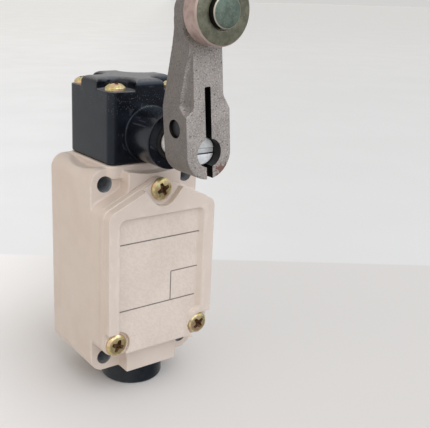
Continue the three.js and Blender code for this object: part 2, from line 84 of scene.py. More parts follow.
BOX_HALF = housing_high.x
BOX_BOTTOM = housing_low.z
SEAT_TOP = housing_high.z
COVER_FRONT = -cover_low.y
COVER_PEAK = cover_high.z
HEAD_TOP = head_high.z
HEAD_BOTTOM = head_low.z
BOSS_FRONT = -head_low.y
SHAFT_Z = frame["joints"][0]["pos_m"][2] / MM
SHAFT_FRONT = -shaft_low.y
PLUG_BOTTOM = plug_low.z
PLUG_Y = (plug_low.y + plug_high.y) / 2

# ---------------------------------------------------------------- sizes of the castings

CORNER = 4.9
EAR_FRONT = 28.0
RIM_FRONT = 33.5
FLANGE_FRONT = 35.7
SCREW_SEAT = 36.6
FIELD_FRONT = 37.7
COVER_HALF = 19.9
COVER_BOTTOM = -25.1
COVER_SHOULDER = 22.75
MOUNT_X, MOUNT_Z = 15.1, 29.35
MOUNT_HOLES = [(i * MOUNT_X, k * MOUNT_Z) for i in (-1, 1) for k in (-1, 1)]
MOUNT_HOLE_RADIUS = 2.6
HEAD_HALF = 13.8
HEAD_Y = -15.5
POCKET_FLOOR = 57.5
BOSS_RADIUS = 8.5
SHAFT_RADIUS = 4.0
COVER_INSET = 0.3
SCREW_POCKET = 4.5
SWITCH_POSTS = ((-9.9, 17.2, 3.3, 8), (9.9, -8.4, 3.3, 8), (-7.2, -18.2, 3.2, 6.5))  # x, z, radius, front

COVER_SCREWS = ["cover_screw_top", "cover_screw_left", "cover_screw_right"]
HEAD_SCREWS = [f"head_screw_{i}" for i in (1, 2, 3, 4)]


# ---------------------------------------------------------------- solids


def arc_outline(corners, step=ARC_STEP):
    """Closed outline whose corners (x, y, radius) are rounded by arcs."""
    points = []
    count = len(corners)
    for i, (x, y, radius) in enumerate(corners):
        here = Vector((x, y))
        if radius == 0:
            points.append(here)
            continue
        back = (Vector(corners[i - 1][:2]) - here).normalized()
        ahead = (Vector(corners[(i + 1) % count][:2]) - here).normalized()
        half = math.acos(max(-1, min(1, back.dot(ahead)))) / 2
        centre = here + (back + ahead).normalized() * (radius / math.sin(half))
        start = here + back * (radius / math.tan(half)) - centre
        sweep = math.pi - 2 * half
        if back.x * ahead.y - back.y * ahead.x > 0:
            sweep = -sweep
        steps = max(2, math.ceil(abs(sweep) / step))
        for k in range(steps + 1):
            turn = Matrix.Rotation(sweep * k / steps, 2)
            points.append(centre + turn @ start)
    return points


def rectangle(x0, x1, y0, y1, radius=0):
    return arc_outline([(x0, y0, radius), (x1, y0, radius), (x1, y1, radius), (x0, y1, radius)])


def circle(a, b, radius, sides=FINE_SIDES):
    turns = [2 * math.pi * k / sides for k in range(sides)]
    return [Vector((a + radius * math.cos(t), b + radius * math.sin(t))) for t in turns]


AXES = {
    "x": lambda u, v, w: (w, u, v),
    "y": lambda u, v, w: (u, -w, v),
    "z": lambda u, v, w: (u, v, w),
}


def finish_mesh(mesh, name, material_index):
    """Turns a bmesh into an object whose faces all take one of the piece's looks."""
    bmesh.ops.recalc_face_normals(mesh, faces=mesh.faces)
    for face in mesh.faces:
        face.material_index = material_index
    data = bpy.data.meshes.new(name)
    mesh.to_mesh(data)
    mesh.free()
    for _ in range(MATERIAL_SLOTS):
        data.materials.append(None)
    solid = bpy.data.objects.new(name, data)
    bpy.context.scene.collection.objects.link(solid)
    return solid


def loft(points, far, axis, low, high, material_index=0):
    """Closed solid between two outlines with as many points, one at low and one at high along an axis."""
    mesh = bmesh.new()
    ends = [[mesh.verts.new(AXES[axis](*p, w)) for p in side] for side, w in ((points, low), (far, high))]
    for end in ends:
        mesh.faces.new(end)
    for i in range(len(points)):
        mesh.faces.new((ends[0][i - 1], ends[0][i], ends[1][i], ends[1][i - 1]))
    return finish_mesh(mesh, "loft", material_index)


def prism(points, axis, low, high, far_scale=1.0, material_index=0):
    """Closed solid of an outline, from low to high along an axis; its high end may be scaled."""
    centre = sum(points, Vector((0, 0))) / len(points)
    far = [centre + (point - centre) * far_scale for point in points]
    return loft(points, far, axis, low, high, material_index)


def block(x0, x1, rear, front, z0, z1):
    """Box between two places across, two depths and two levels."""
    return prism(rectangle(min(x0, x1), max(x0, x1), z0, z1), "y", rear, front)


def rod(axis, a, b, radius, low, high, sides=FINE_SIDES, material_index=0):
    """Round bar about (a, b), from low to high along an axis."""
    return prism(circle(a, b, radius, sides), axis, low, high, material_index=material_index)


def turned(corners, axis, a, b, sides=FINE_SIDES, material_index=0):
    """Solid of revolution of an outline (radius, place along the axis, corner radius)."""
    mesh = bmesh.new()
    profile = arc_outline(corners, PROFILE_STEP)
    rings = []
    for radius, place in profile:
        around = circle(a, b, radius, sides) if radius > 1e-6 else [Vector((a, b))]
        rings.append([mesh.verts.new(AXES[axis](*p, place)) for p in around])
    for ring, after in zip(rings, rings[1:] + rings[:1]):
        for k in range(sides):
            face = list(dict.fromkeys(
                [ring[k % len(ring)], ring[(k + 1) % sides % len(ring)],
                 after[(k + 1) % sides % len(after)], after[k % len(after)]]
            ))
            if len(face) > 2:
                mesh.faces.new(face)
    return finish_mesh(mesh, "turned", material_index)


def applied(solid):
    """Makes the result of the modifiers the object's own mesh."""
    graph = bpy.context.evaluated_depsgraph_get()
    data = bpy.data.meshes.new_from_object(solid.evaluated_get(graph))
    solid.modifiers.clear()
    old = solid.data
    solid.data = data
    bpy.data.meshes.remove(old)
    return solid


def combine(base, tools, operation):
    """Boolean of a base with each tool in turn; the tools are used up."""
    for tool in tools:
        modifier = base.modifiers.new("combine", "BOOLEAN")
        modifier.solver = "MANIFOLD"
        modifier.operation = operation
        modifier.object = tool
        applied(base)
        bpy.data.objects.remove(tool)
    return base


def join(base, *tools):
    return combine(base, tools, "UNION")


def cut(base, *tools):
    return combine(base, tools, "DIFFERENCE")


def intersect(base, *tools):
    return combine(base, tools, "INTERSECT")


def soften(solid, voxel, rounds, keep):
    """Casting skin: remeshes evenly, melts every edge into a small fillet and thins the flat areas out."""
    remesh = solid.modifiers.new("remesh", "REMESH")
    remesh.mode = "VOXEL"
    remesh.voxel_size = voxel * 1
    smooth = solid.modifiers.new("smooth", "SMOOTH")
    smooth.factor = 0.5
    smooth.iterations = max(1, rounds // (1))
    thin = solid.modifiers.new("thin", "DECIMATE")
    thin.ratio = keep
    return applied(solid)


def transformed(solid, matrix):
    """The same solid, with its mesh moved."""
    solid.data.transform(matrix)
    return solid


def bevelled(solid, width, segments, angle=35):
    """Rounds every edge sharper than an angle, in degrees."""
    bevel = solid.modifiers.new("bevel", "BEVEL")
    bevel.width = width
    bevel.segments = segments
    bevel.limit_method = "ANGLE"
    bevel.angle_limit = math.radians(angle)
    bevel.miter_outer = "MITER_ARC"
    return applied(solid)


def piece(solid, name, body, looks, nodes, crease=40):
    """Turns a finished solid into a piece of the visual model, in metres, in place of its CAD nodes."""
    solid.data.transform(Matrix.Scale(MM, 4))
    solid.name = solid.data.name = name
    choices = [min(face.material_index, len(looks) - 1) for face in solid.data.polygons]
    solid.data.materials.clear()
    for look in looks:
        solid.data.materials.append(look)
    solid.data.polygons.foreach_set("material_index", choices)
    solid.data.shade_smooth()
    solid.data.set_sharp_from_angle(angle=math.radians(crease))
    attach(solid, body)
    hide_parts(*nodes)
    return solid


# ---------------------------------------------------------------- materials


MIX_A, MIX_B, MIX_RESULT = 6, 7, 2  # a colour Mix node's own sockets


class Look:
    """A procedural material. Its patterns lie in the piece's own coordinates, in millimetres."""

    def __init__(self, name, metallic=0.0, **sockets):
        self.material = bpy.data.materials.new(name)
        self.material.use_nodes = True
        self.nodes = self.material.node_tree.nodes
        self.links = self.material.node_tree.links
        self.shader = self.nodes["Principled BSDF"]
        self.shader.inputs["Metallic"].default_value = metallic
        for socket, value in sockets.items():
            self.shader.inputs[socket.replace("_", " ")].default_value = value
        self.source = self.nodes.new("ShaderNodeTexCoord")
        self.mm = self.vector("SCALE", self.source.outputs["Object"], scale=1 / MM)

    def feed(self, socket, value):
        if isinstance(value, bpy.types.NodeSocket):
            self.links.new(value, socket)
        else:
            if socket.type == "RGBA" and len(value) == 3:
                value = (*value, 1)
            socket.default_value = value

    def vector(self, operation, value, other=None, scale=None):
        node = self.nodes.new("ShaderNodeVectorMath")
        node.operation = operation
        self.feed(node.inputs[0], value)
        if other is not None:
            self.feed(node.inputs[1], other)
        if scale is not None:
            node.inputs["Scale"].default_value = scale
        return node.outputs["Value" if operation in ("DISTANCE", "LENGTH", "DOT_PRODUCT") else "Vector"]

    def math(self, operation, a, b=0.5):
        node = self.nodes.new("ShaderNodeMath")
        node.operation = operation
        self.feed(node.inputs[0], a)
        self.feed(node.inputs[1], b)
        return node.outputs[0]

    def xyz(self, vector=None):
        node = self.nodes.new("ShaderNodeSeparateXYZ")
        self.feed(node.inputs[0], self.mm if vector is None else vector)
        return node.outputs

    def normal(self):
        return self.xyz(self.source.outputs["Normal"])

    def noise(self, scale, detail=3.0, roughness=0.55, stretch=None):
        node = self.nodes.new("ShaderNodeTexNoise")
        where = self.mm if stretch is None else self.vector("MULTIPLY", self.mm, stretch)
        self.feed(node.inputs["Vector"], where)
        node.inputs["Scale"].default_value = scale
        node.inputs["Detail"].default_value = detail
        node.inputs["Roughness"].default_value = roughness
        return node.outputs["Fac"]

    def cells(self, scale):
        node = self.nodes.new("ShaderNodeTexVoronoi")
        self.feed(node.inputs["Vector"], self.mm)
        node.inputs["Scale"].default_value = scale
        return node

    def band(self, value, low, high, to_low=0.0, to_high=1.0):
        """Smooth step of a value between two limits."""
        node = self.nodes.new("ShaderNodeMapRange")
        node.interpolation_type = "SMOOTHSTEP"
        self.feed(node.inputs["Value"], value)
        for socket, limit in zip(("From Min", "From Max", "To Min", "To Max"), (low, high, to_low, to_high)):
            node.inputs[socket].default_value = limit
        return node.outputs["Result"]

    def specks(self, scale, size, share):
        """Sparse small spots: the given share of the cells holds one of about that size."""
        cell = self.cells(scale)
        chosen = self.nodes.new("ShaderNodeSeparateColor")
        self.feed(chosen.inputs[0], cell.outputs["Color"])
        near = self.band(cell.outputs["Distance"], size * scale * 0.6, size * scale, 1.0, 0.0)
        rare = self.band(chosen.outputs[0], 1 - share, 1 - share + 0.01)
        return self.math("MULTIPLY", near, rare)

    def mix(self, share, a, b):
        node = self.nodes.new("ShaderNodeMix")
        node.data_type = "RGBA"
        self.feed(node.inputs["Factor"], share)
        self.feed(node.inputs[MIX_A], a)
        self.feed(node.inputs[MIX_B], b)
        return node.outputs[MIX_RESULT]

    def edges(self):
        """Convex edges, from the shape's pointiness."""
        node = self.nodes.new("ShaderNodeNewGeometry")
        return self.band(node.outputs["Pointiness"], 0.53, 0.62)

    def hollows(self):
        """Concave edges, in the same way."""
        node = self.nodes.new("ShaderNodeNewGeometry")
        return self.band(node.outputs["Pointiness"], 0.36, 0.455, 1.0, 0.0)

    def line(self, value, place, width):
        """One along a line where a value is near a place."""
        away = self.math("ABSOLUTE", self.math("SUBTRACT", value, place))
        return self.band(away, width * 0.35, width * 0.65, 1.0, 0.0)

    def inside(self, value, low, high, soft=0.3):
        return self.math("MULTIPLY", self.band(value, low - soft, low + soft),
                         self.band(value, high - soft, high + soft, 1.0, 0.0))

    def bump(self, height, depth, under=None):
        """Raises the surface by a height pattern; depth is in millimetres."""
        node = self.nodes.new("ShaderNodeBump")
        node.inputs["Strength"].default_value = 1.0
        node.inputs["Distance"].default_value = depth * MM
        self.feed(node.inputs["Height"], height)
        if under is not None:
            self.feed(node.inputs["Normal"], under)
        return node.outputs["Normal"]

    def set(self, colour, roughness, normal=None):
        self.feed(self.shader.inputs["Base Color"], colour)
        self.feed(self.shader.inputs["Roughness"], roughness)
        if normal is not None:
            self.feed(self.shader.inputs["Normal"], normal)
        return self.material


def srgb(red, green, blue):
    """Linear colour of a colour given as 0-255 screen values."""
    def linear(value):
        value /= 255
        return value / 12.92 if value <= 0.04045 else ((value + 0.055) / 1.055) ** 2.4
    return (linear(red), linear(green), linear(blue))


PAINT = srgb(208, 194, 182)


def paint_look(name, print_mask=None):
    """Beige enamel on a casting, with a painted highlight on its edges, painted shade in its creases, and an
    optional pattern printed on it in dark ink.
    """
    look = Look(name, Coat_Weight=0.15, Coat_Roughness=0.3, Specular_IOR_Level=0.45)
    cloud = look.noise(0.09, 2)
    colour = look.mix(look.band(cloud, 0.35, 0.7), PAINT, srgb(203, 188, 175))
    fine = look.noise(1.7, 3)
    colour = look.mix(look.band(fine, 0.3, 0.75, 0.0, 0.2), colour, srgb(196, 181, 168))
    # Painted highlight: convex edges are lightened a little.
    colour = look.mix(look.math("MULTIPLY", look.edges(), 0.12), colour, srgb(236, 228, 220))
    # Painted shade: concave edges and creases are darkened.
    colour = look.mix(look.math("MULTIPLY", look.hollows(), 0.3), colour, srgb(160, 143, 128))
    dirt = look.specks(0.33, 0.16, 0.10)
    colour = look.mix(look.math("MULTIPLY", dirt, 0.8), colour, srgb(62, 50, 42))
    scuffs = look.band(look.noise(0.5, 6, 0.7), 0.66, 0.72)
    colour = look.mix(look.math("MULTIPLY", scuffs, 0.18), colour, srgb(168, 150, 134))
    if print_mask is not None:
        ink = print_mask(look)
        patchy = look.band(look.noise(4.0, 2), 0.2, 0.6, 0.6, 0.95)
        colour = look.mix(look.math("MULTIPLY", ink, patchy), colour, srgb(96, 88, 86))
    peel = look.bump(look.noise(1.3, 2), 0.02)
    grain = look.bump(look.noise(3.5, 2), 0.004, under=peel)
    rough = look.band(look.noise(0.7, 4), 0.2, 0.8, 0.36, 0.5)
    return look.set(colour, rough, grain)


def black_paint_look():
    """Gloss black enamel, dusty, with a painted grey reflection on top of the head."""
    look = Look("head_black_paint", Specular_IOR_Level=0.46, Specular_Tint=(0.78, 0.88, 1.0, 1.0))
    cloud = look.noise(0.2, 3)
    colour = look.mix(look.band(cloud, 0.3, 0.7), srgb(12, 14, 20), srgb(19, 22, 29))
    normal = look.normal()
    upward = look.band(normal["Z"], 0.3, 0.95)
    height = look.xyz()["Z"]
    upward = look.math("MULTIPLY", upward, look.band(height, 55.0, 57.4))
    # Painted reflection: the top faces of the head are greyed, standing in for the bright room mirrored in the
    # gloss.
    painted_top_sheen = look.math("MULTIPLY", look.band(look.noise(1.1, 4, 0.6), 0.35, 0.7, 0.42, 0.62), upward)
    colour = look.mix(painted_top_sheen, colour, srgb(136, 134, 133))
    settled = look.math("ADD", look.inside(height, 51.0, 57.2, 2.0), look.math("MULTIPLY", upward, 1.6))
    dust = look.math("MULTIPLY", look.specks(3.4, 0.075, 0.30), look.math("MINIMUM", settled, 1.0))
    stray = look.math("MULTIPLY", look.specks(1.2, 0.09, 0.14), 0.7)
    dust = look.math("MAXIMUM", dust, stray)
    colour = look.mix(look.math("MULTIPLY", dust, 0.45), colour, srgb(196, 200, 206))
    colour = look.mix(look.math("MULTIPLY", look.edges(), 0.25), colour, srgb(84, 88, 96))
    peel = look.bump(look.noise(0.8, 2), 0.035)
    gloss = look.band(look.noise(1.5, 4), 0.2, 0.8, 0.14, 0.26)
    rough = look.math("ADD", gloss, look.math("MULTIPLY", painted_top_sheen, 0.35))
    return look.set(colour, rough, peel)


def zinc_look(name, dark=False):
    """Yellow passivated zinc, with the pink and green bloom of its passivation layer; dark adds painted shade in
    the drive recess.
    """
    look = Look(name, metallic=0.8)
    hue = look.band(look.noise(0.55, 2), 0.35, 0.65)
    colour = look.mix(hue, srgb(232, 216, 168), srgb(208, 184, 118))
    tint = look.band(look.noise(0.8, 1), 0.48, 0.62)
    colour = look.mix(look.math("MULTIPLY", tint, 0.55), colour, srgb(222, 172, 156))
    green = look.band(look.noise(0.9, 1, stretch=(1.3, 0.8, 1.0)), 0.52, 0.66)
    colour = look.mix(look.math("MULTIPLY", green, 0.5), colour, srgb(158, 172, 118))
    # Painted shade: concave edges and hollows of the screw are darkened brown.
    colour = look.mix(look.math("MULTIPLY", look.hollows(), 0.7), colour, srgb(92, 70, 34))
    if dark:
        # Painted shade: the drive recess is darkened to deep brown.
        colour = look.mix(look.band(look.noise(1.7, 2), 0.35, 0.65, 0.75, 0.97), colour, srgb(84, 40, 20))
    rough = look.band(look.noise(2.5, 4), 0.25, 0.75, *((0.45, 0.65) if dark else (0.28, 0.46)))
    return look.set(colour, rough, look.bump(look.noise(2.4, 2), 0.02))


def cast_look():
    """Blasted grey casting, pitted, with painted glints in its grain, painted shade on its flanks, and one rust
    stain.
    """
    look = Look("lever_cast_steel", metallic=0.35, Specular_IOR_Level=0.45)
    colour = look.mix(look.band(look.noise(0.22, 3), 0.3, 0.7), srgb(168, 160, 153), srgb(150, 142, 136))
    grain_and_glints = look.noise(2.4, 4, 0.7)
    # Partly painted glints: the light side of the grain is blasted texture and also stands in for bright glints.
    colour = look.mix(look.band(grain_and_glints, 0.5, 0.72, 0.0, 0.8), colour, srgb(226, 221, 216))
    colour = look.mix(look.band(grain_and_glints, 0.48, 0.3, 0.0, 0.65), colour, srgb(96, 89, 84))
    pits = look.math("MAXIMUM", look.specks(1.1, 0.27, 0.2), look.specks(1.9, 0.17, 0.26))
    colour = look.mix(look.math("MULTIPLY", pits, 0.7), colour, srgb(58, 52, 50))
    # Painted shade: faces turned across x are darkened.
    flank_shade = look.band(look.math("ABSOLUTE", look.normal()["X"]), 0.15, 0.8, 0.0, 0.75)
    colour = look.mix(flank_shade, colour, srgb(98, 94, 91))
    stain = look.vector("DISTANCE", look.mm, (4.9, -60.0, 38.6))
    edge = look.math("ADD", stain, look.band(look.noise(0.9, 3), 0.2, 0.8, -1.5, 1.5))
    colour = look.mix(look.band(edge, 1.5, 2.1, 0.75, 0.0), colour, srgb(116, 62, 48))
    rough = look.band(look.noise(2.2, 3), 0.25, 0.75, 0.42, 0.6)
    coarse = look.bump(look.noise(0.9, 3), 0.05)
    fine = look.bump(grain_and_glints, 0.06, under=coarse)
    return look.set(colour, rough, look.bump(pits, -0.06, under=fine))


def steel_look(name, base, rings=None, rough=(0.18, 0.34), metallic=1.0):
    """Turned steel; rings gives the axis (x, z) in the frame that the tool marks run round."""
    look = Look(name, metallic=metallic)
    colour = look.mix(look.band(look.noise(0.8, 3), 0.3, 0.7), base, tuple(0.82 * c for c in base))
    if rings is not None:
        flat = look.vector("MULTIPLY", look.vector("SUBTRACT", look.mm, (rings[0], 0, rings[1])), (1, 0, 1))
        away = look.vector("LENGTH", flat)
        marks = look.math("SINE", look.math("MULTIPLY", away, 26.0))
        normal = look.bump(marks, 0.006)
    else:
        normal = look.bump(look.noise(4.0, 3), 0.006)
    return look.set(colour, look.band(look.noise(1.9, 4), 0.25, 0.75, *rough), normal)


def sintered_look(name, face, chamfer, side):
    """Passivated steel, olive on the flat faces, with other tones on chamfers and on the turned side; on the pin
    the near-black turned side is painted shade.
    """
    look = Look(name, metallic=0.75)
    front = look.math("ABSOLUTE", look.normal()["Y"])
    blotch = look.band(look.noise(0.45, 4, 0.65), 0.34, 0.68)
    tone = look.mix(blotch, face, tuple(0.62 * c for c in face))
    tone = look.mix(look.band(look.noise(1.6, 4), 0.55, 0.75, 0.0, 0.6), tone, srgb(158, 150, 132))
    turned_side = look.mix(look.band(look.noise(0.6, 3), 0.35, 0.7), side, tuple(0.8 * c for c in side))
    colour = look.mix(look.band(front, 0.15, 0.4), turned_side, chamfer)
    colour = look.mix(look.band(front, 0.8, 0.98), colour, tone)
    rough = look.band(look.noise(1.3, 4), 0.25, 0.75, 0.3, 0.5)
    return look.set(colour, rough, look.bump(look.noise(3.0, 3), 0.02))


def plain_look(name, colour, dark, roughness, metallic=0.0, **sockets):
    """Even material that varies between two tones, with a fine grain."""
    look = Look(name, metallic=metallic, **sockets)
    tone = look.mix(look.band(look.noise(0.6, 4), 0.3, 0.7), colour, dark)
    rough = look.band(look.noise(1.4, 3), 0.25, 0.75, *roughness)
    return look.set(tone, rough, look.bump(look.noise(2.2, 3), 0.02))


def rule_lines(look):
    """Plain printed rules on the label field of the cover."""
    place = look.xyz()
    x, y, z = place["X"], place["Y"], place["Z"]
    front = look.band(y, -FIELD_FRONT + 0.6, -FIELD_FRONT + 0.4)
    every = None
    for level, place, width, along, start, end in (
        (z, 12.4, 0.42, x, -15.6, 14.4),
        (z, -9.6, 0.42, x, -15.6, 13.6),
        (x, 3.9, 0.4, z, -9.6, 0.4),
        (z, 0.4, 0.4, x, 3.9, 14.2),
    ):
        stroke = look.math("MULTIPLY", look.line(level, place, width), look.inside(along, start, end, 0.1))
        every = stroke if every is None else look.math("MAXIMUM", every, stroke)
    return look.math("MULTIPLY", every, front)


paint = paint_look("box_paint")
cover_paint = paint_look("cover_paint", rule_lines)
black_paint = black_paint_look()
zinc = zinc_look("screw_zinc")
zinc_recess = zinc_look("screw_zinc_recess", dark=True)
cast_steel = cast_look()
bare_metal = plain_look("bored_alloy", srgb(172, 174, 176), srgb(128, 132, 136), (0.4, 0.6), 0.2)
# Painted shade: near-black for the lever's bores and the grooves along the shaft slot's edges.
dark_bore = plain_look("bore_painted_shade", srgb(34, 32, 31), srgb(18, 17, 17), (0.4, 0.6), 0.2)
# Painted shade: near-black for the lever's deep slit.
slit_dark = plain_look("slit_painted_shade", srgb(9, 8, 8), srgb(4, 4, 4), (0.7, 0.9), Specular_IOR_Level=0.15)
steel = steel_look("bright_steel", srgb(214, 214, 214))
# Painted reflection: the shaft's near-white, mostly non-metallic base stands in for the bright room mirrored by
# its end.
shaft_steel = steel_look(
    "shaft_steel", srgb(244, 244, 242), rings=(0, SHAFT_Z), rough=(0.35, 0.5), metallic=0.2)
bolt_steel = steel_look("bolt_steel", srgb(58, 60, 64), rough=(0.35, 0.55), metallic=0.6)
roller_steel = sintered_look("roller_steel", srgb(130, 128, 108), srgb(184, 166, 157), srgb(190, 167, 159))
# Painted shade: the pin head's turned side is near-black, for the dark gap round it.
pin_steel = sintered_look("pin_steel", srgb(118, 132, 118), srgb(186, 182, 168), srgb(46, 45, 42))
rubber = plain_look("black_rubber", srgb(34, 34, 36), srgb(24, 24, 25), (0.7, 0.9))
black_plastic = plain_look(
    "plug_plastic", srgb(27, 33, 39), srgb(19, 23, 28), (0.36, 0.52), Specular_IOR_Level=0.38)
phenolic = plain_look("phenolic", srgb(78, 48, 34), srgb(58, 34, 24), (0.35, 0.5))
bronze = plain_look("sintered_bronze", srgb(184, 142, 78), srgb(150, 112, 58), (0.35, 0.5), 0.9)
brass = plain_look("stamped_brass", srgb(212, 176, 96), srgb(184, 146, 74), (0.2, 0.35), 1.0)
acetal = plain_look("acetal", srgb(232, 228, 216), srgb(222, 216, 202), (0.35, 0.5))


# ---------------------------------------------------------------- box


def cover_outline(inset=0.0):
    side = COVER_HALF - inset
    low = COVER_BOTTOM + inset
    shoulder = COVER_SHOULDER - inset * 0.6
    lug = 4.2 - inset
    return arc_outline([
        (-side, low, lug), (side, low, lug),
        (side, shoulder, 3.2), (0, COVER_PEAK - inset, 4.1), (-side, shoulder, 3.2),
    ])


def cavity_outline():
    side, neck, step, low, high, corner = 16.2, 10.6, -16.2, -22.4, 22.2, 1.5
    return arc_outline([
        (-neck, low, corner), (neck, low, corner), (neck, step, 1.2), (side, step, corner),
        (side, high, corner + 1), (-side, high, corner + 1), (-side, step, corner), (-neck, step, 1.2),
    ])


def seat_outline(half, radius):
    return rectangle(-half, half, HEAD_Y - half, HEAD_Y + half, radius)


def front_block(low, high, end):
    """Block between two ears, hollowed at its sides to clear the mounting screws' heads."""
    solid = prism(rectangle(-11.7, 11.7, low, high), "y", EAR_FRONT - 0.2, RIM_FRONT)
    level = end * MOUNT_Z
    for side in (-1, 1):
        ends = sorted((level, level + end * 8))
        solid = cut(
            solid,
            rod("y", side * MOUNT_X, level, 5.5, EAR_FRONT - PAST, RIM_FRONT + PAST),
            block(side * 9.7, side * 18.7, EAR_FRONT - PAST, RIM_FRONT + PAST, *ends),
        )
    return solid


def box_casting():
    """The box without its holes: ears, rim, blocks above and below the cover, and the head's seat."""
    body = join(
        prism(rectangle(-BOX_HALF, BOX_HALF, BOX_BOTTOM, -BOX_BOTTOM, CORNER), "y", 0, EAR_FRONT),
        prism(cover_outline(), "y", EAR_FRONT - 0.2, RIM_FRONT),
        front_block(BOX_BOTTOM, COVER_BOTTOM + 2, -1),
        front_block(COVER_SHOULDER + 1, 33.6, 1),
    )
    scoop, dip = 36.0, 1.3
    centre = -BOX_BOTTOM - dip + scoop
    body = cut(
        body,
        rod("x", HEAD_Y, centre, scoop, HEAD_HALF + 0.5, BOX_HALF + PAST, SCOOP_SIDES),
        rod("x", HEAD_Y, centre, scoop, -BOX_HALF - PAST, -HEAD_HALF - 0.5, SCOOP_SIDES),
        rod("y", 0, centre - 0.4, scoop, -HEAD_Y + HEAD_HALF + 0.5, RIM_FRONT + PAST, SCOOP_SIDES),
    )
    body = join(body, prism(seat_outline(HEAD_HALF + 0.4, 2.8), "z", 31, SEAT_TOP))
    return soften(body, voxel=0.25, rounds=9, keep=0.22)


def bored_box():
    """The box casting with its holes and its wiring space."""
    body = box_casting()
    bores = [rod("y", x, z, MOUNT_HOLE_RADIUS, -1, EAR_FRONT + 6, 48, 1) for x, z in MOUNT_HOLES]
    for node in COVER_SCREWS:
        place = middle(node)
        bores.append(rod("y", place.x, place.z, 2.05, 22, 35, 32, 1))
    for node in HEAD_SCREWS:
        place = middle(node)
        bores.append(rod("z", place.x, place.y, 1.85, 26.5, 36, 32, 1))
    for x, z, radius, front in SWITCH_POSTS:
        bores.append(rod("y", x, z, 1.6, 1.6, front + 1, 24, 1))
    cavity = prism(cavity_outline(), "y", 2.8, RIM_FRONT + 1, material_index=1)
    cavity = cut(cavity, *[rod("y", x, z, radius, 2.6, front, 32) for x, z, radius, front in SWITCH_POSTS])
    return cut(
        body,
        cavity,
        rod("z", 0, PLUG_Y, 10.3, -36, -21.5, 96, 1),
        rod("z", 0, HEAD_Y, 7.15, 20, 36, 64, 1),
        rod("z", 0, HEAD_Y, 8.95, 33.8, 36, 64, 1),
        *bores,
    )


piece(bored_box(), "box_casting", "box", [paint, bare_metal], ["housing"])

# ---------------------------------------------------------------- cover


def cover_plate():
    """Flange and raised face, with pockets for the three screws and a sunk label field."""
    flange = prism(cover_outline(), "y", RIM_FRONT, FLANGE_FRONT)
    raised = prism(cover_outline(COVER_INSET), "y", FLANGE_FRONT - 0.2, COVER_FRONT)
    clear = COVER_FRONT + 6
    top = middle("cover_screw_top")
    vee = [(-10.9, top.z + 5.2, 0), (0, top.z - 8, 5), (10.9, top.z + 5.2, 0)]
    tools = [prism(arc_outline(vee), "y", SCREW_SEAT, clear)]
    for node in ("cover_screw_left", "cover_screw_right"):
        place = middle(node)
        side = math.copysign(1, place.x)
        outside, under = side * 24, -30
        tools.append(rod("y", place.x, place.z, SCREW_POCKET, SCREW_SEAT, clear))
        tools.append(block(place.x, outside, SCREW_SEAT, clear, under, place.z + SCREW_POCKET))
        tools.append(block(place.x - side * 3.1, outside, SCREW_SEAT, clear, under, place.z - 3.2))
    raised = cut(raised, *tools)
    field = arc_outline([
        (-15.6, -29, 1.2), (10.0, -29, 1.2), (11.0, -15.6, 2.0), (14.0, -14.6, 1.4),
        (14.0, 20.6, 2.0), (-15.6, 20.6, 2.2),
    ])
    mouth = [point + Vector((1.6 if point.x > 5 else -0.2, 0)) for point in field]
    raised = cut(raised, loft(field, mouth, "y", FIELD_FRONT, COVER_FRONT + 0.1))
    plate = soften(join(flange, raised), voxel=0.17, rounds=4, keep=0.28)
    return cut(
        plate,
        prism(rectangle(-14.4, 14.4, -14.6, 19.6, 2), "y", RIM_FRONT - PAST, COVER_FRONT - 3.1),
        *[rod("y", middle(node).x, middle(node).z, 2.0, 30, 40, 32, 1) for node in COVER_SCREWS],
    )


piece(cover_plate(), "cover_plate", "box", [cover_paint, bare_metal], ["cover"])

# ---------------------------------------------------------------- head


def head_casting():
    """Crowned head with a boss, four scalloped screw pockets, and the hollow for the cam."""
    crown = bevelled(prism(seat_outline(HEAD_HALF, 2.6), "z", HEAD_BOTTOM - 6, HEAD_TOP), 1.8, 5)
    crown = cut(crown, prism(seat_outline(HEAD_HALF + 1, 1), "z", HEAD_BOTTOM - 7, HEAD_BOTTOM))
    body = join(crown, rod("y", 0, SHAFT_Z, BOSS_RADIUS, -HEAD_Y + HEAD_HALF - 1, BOSS_FRONT))
    for node in HEAD_SCREWS:
        place = middle(node)
        lip = HEAD_TOP + 0.02
        body = cut(body, turned([
            (0, POCKET_FLOOR, 0), (6.1, POCKET_FLOOR, 0.3), (6.1, lip, 1.6), (9.5, lip, 0),
            (9.5, HEAD_TOP + 1, 0), (0, HEAD_TOP + 1, 0),
        ], "z", place.x, place.y))
    body = soften(body, voxel=0.17, rounds=14, keep=0.24)
    places = [middle(node) for node in HEAD_SCREWS]
    bores = [rod("z", place.x, place.y, 1.85, HEAD_BOTTOM - PAST, HEAD_TOP, 32) for place in places]
    return cut(
        body,
        prism(rectangle(-8.2, 8.2, HEAD_Y - 7.6, HEAD_Y + 7.6), "z", HEAD_BOTTOM - 1, 53.5),
        turned([
            (0, 4.2, 0), (3.1, 4.2, 0), (3.1, 20, 0), (5.2, 20, 0), (5.2, 25.4, 0),
            (5.55, 25.4, 0), (5.55, BOSS_FRONT + 1, 0), (0, BOSS_FRONT + 1, 0),
        ], "y", 0, SHAFT_Z),
        *bores,
    )


piece(head_casting(), "head_casting", "box", [black_paint], ["head_housing"])

# ---------------------------------------------------------------- screws


def cross_recess(reach, width, deep):
    """Tapered four-winged tool, standing head down on z = 0."""
    corners = []
    for quarter in range(4):
        turn = Matrix.Rotation(quarter * math.pi / 2, 2)
        for x, y, radius in ((reach, -width, 0.2), (reach, width, 0.2), (width * 1.5, width * 1.5, 0.15)):
            corner = turn @ Vector((x, y))
            corners.append((corner.x, corner.y, radius))
    return prism(arc_outline(corners), "z", 0.4, -deep, 0.5, 1)


